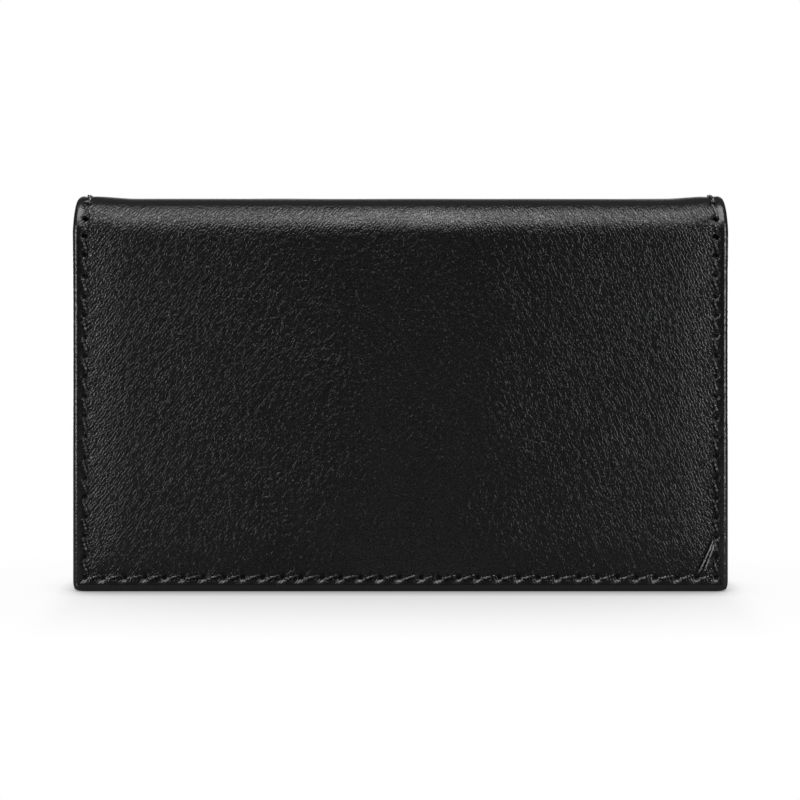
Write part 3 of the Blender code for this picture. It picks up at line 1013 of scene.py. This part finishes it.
def material(slot):
    """The material for one of the record's slots. All are built when the first is asked for."""
    if FINISHES[slot] not in bpy.data.materials:
        build_materials(bpy.context.scene.holder_colours)
    return bpy.data.materials[FINISHES[slot]]


# Operators


class HOLDER_OT_outer_leather(bpy.types.Operator):
    """Make the outer leather: two halves of one skin with turned rims, the seam's valley and its holes"""

    bl_idname = "holder.outer_leather"
    bl_label = "Outer Leather"
    fine_reach = 5 * MM  # How far in from the edge the mesh is fine, and how far it is finest
    finest_reach = 3.2 * MM

    def execute(self, context):
        leather = context.scene.holder_leather
        for side in (FRONT, BACK):
            relief = Relief(leather, context.scene.holder_stitches, side)
            piece = self.make_half(leather, relief, side)
            join_halves(piece)
            blend_half(piece)
            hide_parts(f"{SIDE_NAME[side]}_leather", "fold_leather")
        return {"FINISHED"}

    def make_half(self, leather, relief, side):
        crown = leather.rim_round
        edge = HALF_WIDTH - crown
        mesh = face_grid(-edge, edge, crown, MIDDLE, leather.cell)
        refine(mesh, self.fine_reach, cuts=2)
        refine(mesh, self.finest_reach, cuts=1)
        sheet = Sheet(mesh)
        sheet.relief(relief)
        # The needle holes, which the material paints darker as shade
        sheet.mark("hole_shade", relief.hole_shade)
        sheet.mark("worn", relief.worn)
        sheet.keep_relief(0)
        self.turn_rim(sheet, leather)
        sheet.close()
        write_uv(mesh)
        return make_piece(f"{SIDE_NAME[side]}_outer_leather", mesh, leather, side, "black_leather")

    def turn_rim(self, sheet, leather):
        """The rim's outer round, its flat edge, its inner round and the hem turned inside."""
        outer = leather.rim_round
        inner = leather.rim_fall
        width = leather.hem_width
        hem_face = leather.hem_depth + leather.hem_thickness
        angles = [step / RIM_STEPS * math.pi / 2 for step in range(RIM_STEPS + 1)]
        for angle in angles[1:]:
            sheet.ring(outer * math.sin(angle), inner * (1 - math.cos(angle)), keep=1)
        for angle in angles:
            inset = inner * (1 - math.cos(angle))
            sheet.ring(outer - inset, hem_face - inner * (1 - math.sin(angle)))
        sheet.ring(outer - width, hem_face)
        sheet.ring(outer - width, leather.hem_depth)
        sheet.ring(outer - leather.thickness, leather.hem_depth)
        sheet.ring(outer - leather.thickness, leather.inner_depth)


class HOLDER_OT_lining(bpy.types.Operator):
    """Make the lining cloth in two halves that meet in the middle of the fold"""

    bl_idname = "holder.lining"
    bl_label = "Lining"
    cell = 0.8 * MM
    edge_angles = (30, 60, 90, 120, 150, 180)
    wave_height = 0.03 * MM
    wave_length = 9 * MM
    furrow_depth = 0.12 * MM
    furrow_width = 0.7 * MM
    furrow_start = 1.5 * MM

    def execute(self, context):
        leather = context.scene.holder_leather
        stitches = context.scene.holder_stitches
        for side in (FRONT, BACK):
            name = SIDE_NAME[side]
            left, right, low, _, back, face = lining_of(context.scene.holder_inside, side)
            turn = (face - back) / 2
            mesh = face_grid(left + turn, right - turn, low + turn, MIDDLE, self.cell)
            sheet = Sheet(mesh)
            sheet.relief(lambda x, s: face - self.pull(stitches, x, s))
            sheet.keep_relief(face)
            for angle in map(math.radians, self.edge_angles):
                depth = face - turn * (1 - math.cos(angle))
                sheet.ring(turn * math.sin(angle), depth, keep=max(math.cos(angle), 0))
            sheet.close()
            write_uv(mesh)
            piece = make_piece(f"{name}_lining_cloth", mesh, leather, side, "lining_cloth")
            join_halves(piece)
            blend_half(piece)
            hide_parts(f"{name}_lining", "fold_lining")
        return {"FINISHED"}

    def pull(self, stitches, x, s):
        """The cloth's slight waves and the furrow that the seam presses into it."""
        wave = self.wave_height * stray(31, x / self.wave_length, s / self.wave_length)
        inset = inset_of(x, s)
        furrow = self.furrow_depth * math.exp(-(((inset - stitches.inset) / self.furrow_width) ** 2))
        return wave + furrow * smoothstep(inset / self.furrow_start)


class HOLDER_OT_boards(bpy.types.Operator):
    """Give the boards inside the covers and the strip in the fold their fibre surface"""

    bl_idname = "holder.boards"
    bl_label = "Boards"

    def execute(self, context):
        for node in ("front_board", "back_board", "fold_strip"):
            data = frame["nodes"][node].data
            data.materials.clear()
            data.materials.append(material("board"))
        return {"FINISHED"}


class HOLDER_OT_window(bpy.types.Operator):
    """Make the window pocket: its leather frame with the notch for the thumb, and the clear film"""

    bl_idname = "holder.window"
    bl_label = "Window Pocket"
    film_cell = 1.5 * MM
    film_wave = 0.12 * MM
    wave_length = 22 * MM
    held_width = 8 * MM
    film_round = 0.08 * MM

    def execute(self, context):
        leather = context.scene.holder_leather
        inside = context.scene.holder_inside
        *box, back, face = layer_of("window_frame", FRONT)
        opening = window_opening(inside)
        outlines = (
            lambda inset: rounded(box, inside.corner, inset, inside.notch_radius),
            lambda inset: rounded(opening, inside.window_corner, -inset),
        )
        mesh = flat_piece(outlines, face, back)
        piece = make_piece("window_leather", mesh, leather, FRONT, "pocket_leather")
        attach(piece, COVER[FRONT])
        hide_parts("window_frame")
        self.make_film(leather)
        return {"FINISHED"}

    def make_film(self, leather):
        """The film, with the slight waves of a sheet that is held only at its edges."""
        left, right, low, high, back, face = layer_of("window_film", FRONT)
        mesh = face_grid(left, right, low, high, self.film_cell)
        for vertex in mesh.verts:
            x, s, _ = vertex.co
            held = smoothstep(min(x - left, right - x, s - low, high - s) / self.held_width)
            wave = 0.5 + 0.5 * stray(17, x / self.wave_length, s / self.wave_length)
            vertex.co.z = -self.film_wave * held * wave
        made = bmesh.ops.extrude_face_region(mesh, geom=list(mesh.faces), use_keep_orig=True)["geom"]
        behind = {item for item in made if isinstance(item, bmesh.types.BMVert)}
        for vertex in mesh.verts:
            vertex.co.z += back + self.film_wave if vertex in behind else face
        mesh.normal_update()
        rim = [edge for edge in mesh.edges if edge.calc_face_angle(0) > 1]
        bmesh.ops.bevel(mesh, geom=rim, offset=self.film_round, segments=2, profile=0.5, affect="EDGES")
        write_uv(mesh)
        piece = make_piece("window_film_sheet", mesh, leather, FRONT, "clear_film")
        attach(piece, COVER[FRONT])
        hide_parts("window_film")


class HOLDER_OT_pockets(bpy.types.Operator):
    """Make the three stepped card pockets"""

    bl_idname = "holder.pockets"
    bl_label = "Card Pockets"

    def execute(self, context):
        leather = context.scene.holder_leather
        inside = context.scene.holder_inside
        for name in POCKETS:
            *box, back, face = layer_of(f"{name}_card_pocket", BACK)
            mesh = flat_piece([lambda inset, box=box: rounded(box, inside.corner, inset)], face, back)
            piece = make_piece(f"{name}_pocket_leather", mesh, leather, BACK, "pocket_leather")
            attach(piece, COVER[BACK])
            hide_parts(f"{name}_card_pocket")
        return {"FINISHED"}


class HOLDER_OT_stitches(bpy.types.Operator):
    """Make the stitches: the outer seam on both faces, the window, the pockets and the long corner stitch"""

    bl_idname = "holder.stitches"
    bl_label = "Stitches"
    strand_gap = 0.5 * MM  # How far each strand of the corner stitch lies beside its middle
    gap_at_top = 0.2  # Share of that gap that is left at its upper end
    line_rise = 0.02 * MM  # How far the middle of a fine stitch lies over its piece
    line_slant = 0.06 * MM

    def execute(self, context):
        leather = context.scene.holder_leather
        stitches = context.scene.holder_stitches
        inside = context.scene.holder_inside
        thread = stitches.thread_radius
        outer = stitch_shape(thread, rings=12, turns=1.5, arch=0.55 * MM)
        inner = stitch_shape(0.8 * thread, rings=8, turns=1.0, arch=0.25 * MM)
        for side in (FRONT, BACK):
            depth = lining_of(inside, side)[5]
            self.make_seam(leather, stitches, side, outer, inner, depth)
        strand = stitch_shape(0.75 * thread, rings=20, turns=2.5, arch=0.6 * MM)
        self.make_corner_stitch(leather, stitches, strand)

        depth = layer_of("window_frame", FRONT)[5]
        loop = rounded(window_opening(inside), inside.window_corner, -inside.window_seam)
        holes = spaced(loop + loop[:1], FINE_STITCH)
        self.make_line("window_stitches", holes, depth, inner, FRONT, "window_thread")
        for name in POCKETS:
            left, right, _, high, _, depth = layer_of(f"{name}_card_pocket", BACK)
            seam = high - inside.pocket_seam
            ends = ((left + 2 * inside.pocket_seam, seam), (right - 2 * inside.pocket_seam, seam))
            holes = spaced(ends, FINE_STITCH)
            self.make_line(f"{name}_pocket_stitches", holes, depth, inner, BACK, f"{name}_pocket_thread")
        return {"FINISHED"}

    def make_seam(self, leather, stitches, side, outer, inner, depth):
        """One half's stitches on the outer face and, at the lining's depth, on the inside."""
        name = SIDE_NAME[side]
        holes = seam_holes(stitches, side)
        relief = Relief(leather, stitches, side)
        slant = stitches.slant
        mesh = bmesh.new()
        run_stitches(mesh, outer, holes, lambda x, s: relief.base(x, s) - THREAD_RISE, -1, slant, side)
        piece = make_piece(f"{name}_seam_stitches", mesh, leather, side, "thread")
        blend_half(piece)
        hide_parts(f"{name}_seam_thread", "left_fold_thread", "right_fold_thread")

        mesh = bmesh.new()
        run_stitches(mesh, inner, holes, lambda x, s: depth, 1, -slant, side)
        piece = make_piece(f"{name}_inner_stitches", mesh, leather, side, "thread")
        blend_half(piece)
        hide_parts(f"{name}_inner_thread", "left_inner_fold_thread", "right_inner_fold_thread")

    def make_corner_stitch(self, leather, stitches, strand):
        """The long stitch over the corner, as two strands side by side."""
        start, end = corner_ends(stitches)
        relief = Relief(leather, stitches, FRONT)
        mesh = bmesh.new()
        slack = (end - start) * STITCH_GAP
        for way in (-1, 1):
            apart = Vector((way * self.strand_gap, 0))
            first = start - slack + self.gap_at_top * apart
            last = end + slack + apart
            lay_stitch(mesh, strand, first, last, lambda x, s: relief.base(x, s) - THREAD_RISE, -1, 0)
        piece = make_piece("long_corner_stitch", mesh, leather, FRONT, "thread")
        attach(piece, COVER[FRONT])
        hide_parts("corner_stitch")

    def make_line(self, name, holes, depth, shape, side, node):
        """A line of fine stitches on a flat piece."""
        mesh = bmesh.new()
        run_stitches(mesh, shape, holes, lambda x, s: depth + self.line_rise, 1, self.line_slant, 3)
        piece = make_piece(name, mesh, bpy.context.scene.holder_leather, side, "thread")
        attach(piece, COVER[side])
        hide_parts(node)


class HOLDER_OT_studio(bpy.types.Operator):
    """Make the floor, the card behind it, the lamps, the plain light all round and the camera"""

    bl_idname = "holder.studio"
    bl_label = "Studio"

    def execute(self, context):
        studio = context.scene.holder_studio
        self.make_floor(studio)
        self.make_card()
        self.make_world(context, studio)
        self.make_lamps(studio)
        self.make_camera(context, studio)
        context.scene.view_settings.view_transform = "Standard"
        return {"FINISHED"}

    def seen(self, nodes, gloss):
        """1 for the rays that see the background straight or through film, and gloss for reflected ones."""
        path = nodes.add("LightPath").outputs
        reflected = nodes.math("MULTIPLY", path["Is Glossy Ray"], gloss)
        either = nodes.math("MAXIMUM", path["Is Camera Ray"], reflected)
        return nodes.math("MAXIMUM", either, path["Is Transmission Ray"])

    def plane(self, name, size, place, made):
        mesh = bmesh.new()
        bmesh.ops.create_grid(mesh, x_segments=1, y_segments=1, size=size / 2, matrix=place)
        data = bpy.data.meshes.new(name)
        mesh.to_mesh(data)
        mesh.free()
        data.materials.append(made)
        obj = bpy.data.objects.new(name, data)
        bpy.context.scene.collection.objects.link(obj)

    def white_material(self, name, gloss, paints_shadow):
        """White to the rays that see the background, and a plain pale surface to the rest. When asked, the
        white carries a painted shadow of the holder.
        """
        made = bpy.data.materials.new(name)
        made.use_nodes = True
        tree = made.node_tree
        tree.nodes.clear()
        nodes = Tree(tree)
        plain = nodes.add("BsdfDiffuse", {"Color": (0.2, 0.2, 0.2, 1)})
        glow = nodes.add("Emission", {"Strength": 1})
        if paints_shadow:
            # A painted shadow from ambient occlusion, not from the lamps: a wide soft one and a dark one
            # close to the holder, both weaker beside it
            wide = nodes.add("AmbientOcclusion", {"Distance": 0.05}, samples=16).outputs["AO"]
            near = nodes.add("AmbientOcclusion", {"Distance": 0.0065}, samples=16).outputs["AO"]
            place = nodes.add("SeparateXYZ", {"Vector": nodes.add("TexCoord").outputs["Object"]}).outputs
            away = nodes.math("ABSOLUTE", place[0])
            inputs = {"Value": away, "From Min": 0.053, "From Max": 0.058, "To Min": 1, "To Max": 0.3}
            beside = nodes.add("MapRange", inputs).outputs[0]
            painted_shadow = nodes.math("MULTIPLY", nodes.mix(0.6, 1, wide), nodes.mix(0.95, 1, near))
            level = nodes.mix(beside, 1, painted_shadow)
            nodes.feed(glow.inputs["Strength"], level)
        seen = self.seen(nodes, gloss)
        mixed = nodes.add("MixShader", {"Fac": seen, 1: plain.outputs[0], 2: glow.outputs[0]})
        return made, nodes, mixed.outputs[0]

    def make_floor(self, studio):
        """A floor with the holder's soft shadow painted into its white, which fades into the white round it.
        """
        made, nodes, mixed = self.white_material("floor_white", studio.floor_gloss, True)
        place = nodes.add("TexCoord").outputs["Object"]
        away = nodes.add("VectorMath", {0: place}, operation="LENGTH").outputs["Value"]
        fade = smooth_range(nodes, away, 0.2, 0.34)
        clear = nodes.add("BsdfTransparent").outputs[0]
        faded = nodes.add("MixShader", {"Fac": fade, 1: mixed, 2: clear}).outputs[0]
        nodes.add("OutputMaterial", {"Surface": faded})
        self.plane("floor", 0.8, Matrix.Translation((0, 0, -0.02 * MM)), made)

    def make_card(self):
        """A white card behind the holder, wide enough for the camera's view."""
        made, nodes, mixed = self.white_material("card_white", 1, False)
        nodes.add("OutputMaterial", {"Surface": mixed})
        stand = Matrix.Translation((0, 0.8, 0.1)) @ Matrix.Rotation(math.pi / 2, 4, "X")
        self.plane("backdrop_card", 0.7, stand, made)

    def make_world(self, context, studio):
        """Plain light whose level grows from the front to overhead and to the back."""
        world = bpy.data.worlds.new("studio_light")
        context.scene.world = world
        world.use_nodes = True
        tree = world.node_tree
        tree.nodes.clear()
        nodes = Tree(tree)
        path = nodes.add("LightPath").outputs
        seen = nodes.math("MAXIMUM", path["Is Camera Ray"], path["Is Transmission Ray"])
        way = nodes.add("SeparateXYZ", {"Vector": nodes.add("TexCoord").outputs["Object"]}).outputs
        inputs = {"Value": way[2], "From Max": 0.85, "To Min": studio.front_level, "To Max": studio.top_level}
        front = nodes.add("MapRange", inputs, interpolation_type="SMOOTHSTEP").outputs[0]
        plain = nodes.mix(smooth_range(nodes, way[1], -0.1, 0.3), front, studio.back_level)
        light = nodes.add("Background", {"Strength": nodes.mix(seen, plain, 1)})
        nodes.add("OutputWorld", {"Surface": light.outputs[0]})

    def lamp(self, name, place, aim, width, height, power):
        light = bpy.data.lights.new(name, "AREA")
        light.shape = "RECTANGLE"
        light.size = width
        light.size_y = height
        light.energy = power
        obj = bpy.data.objects.new(name, light)
        obj.location = place
        obj.rotation_euler = (Vector(aim) - Vector(place)).to_track_quat("-Z", "Y").to_euler()
        obj.visible_camera = False
        bpy.context.scene.collection.objects.link(obj)

    def make_lamps(self, studio):
        """A wide lamp over the front, a low one behind, and a narrow one close to each side."""
        self.lamp("key_lamp", (0, -0.17, 0.39), (0, 0, 0.05), width=0.55, height=0.35, power=studio.key_power)
        self.lamp("back_lamp", (0, 0.3, 0.03), (0, 0, 0.03), width=0.6, height=0.05, power=studio.back_power)
        for name, way in (("left_lamp", -1), ("right_lamp", 1)):
            place = (way * 0.145, -0.085, 0.055)
            aim = (way * 0.045, 0, 0.035)
            self.lamp(name, place, aim, width=0.03, height=0.11, power=studio.side_power)

    def make_camera(self, context, studio):
        """The photograph's view: level and square on the front, 800 pixels across."""
        image = 800
        sensor = 36
        base_row = 591
        plane = 0.0015  # How far behind the front's flat face a pixel has its size
        camera = bpy.data.cameras.new("camera")
        camera.sensor_width = sensor
        camera.lens = studio.lens
        camera.clip_start = 0.01
        camera.clip_end = 10
        distance = studio.pixel * image * studio.lens / sensor
        middle = (base_row - image / 2) * studio.pixel
        camera.shift_x = -0.5 / image
        camera.shift_y = (middle - studio.height) / (studio.pixel * image)
        obj = bpy.data.objects.new("camera", camera)
        obj.location = (0, plane - FOLD_RADIUS - distance, studio.height)
        obj.rotation_euler = (math.pi / 2, 0, 0)
        context.scene.collection.objects.link(obj)
        context.scene.camera = obj


class HOLDER_PT_panel(bpy.types.Panel):
    """The steps that build the holder"""

    bl_idname = "HOLDER_PT_panel"
    bl_label = "Document Holder"
    bl_space_type = "VIEW_3D"
    bl_region_type = "UI"
    bl_category = "Holder"

    def draw(self, context):
        for step in STEPS:
            self.layout.operator(step.bl_idname)


SETTINGS = {
    "holder_leather": LeatherSizes,
    "holder_stitches": StitchSizes,
    "holder_inside": InsideSizes,
    "holder_colours": HolderColours,
    "holder_studio": StudioSettings,
}
STEPS = (
    HOLDER_OT_outer_leather,
    HOLDER_OT_lining,
    HOLDER_OT_boards,
    HOLDER_OT_window,
    HOLDER_OT_pockets,
    HOLDER_OT_stitches,
    HOLDER_OT_studio,
)


def register():
    for group in SETTINGS.values():
        bpy.utils.register_class(group)
    for name, group in SETTINGS.items():
        setattr(bpy.types.Scene, name, PointerProperty(type=group))
    for step in STEPS:
        bpy.utils.register_class(step)
    bpy.utils.register_class(HOLDER_PT_panel)


def unregister():
    bpy.utils.unregister_class(HOLDER_PT_panel)
    for step in reversed(STEPS):
        bpy.utils.unregister_class(step)
    for name, group in SETTINGS.items():
        delattr(bpy.types.Scene, name)
        bpy.utils.unregister_class(group)


def main():
    register()
    for step in STEPS:
        area, name = step.bl_idname.split(".")
        getattr(getattr(bpy.ops, area), name)()


if __name__ == "__main__":
    main()
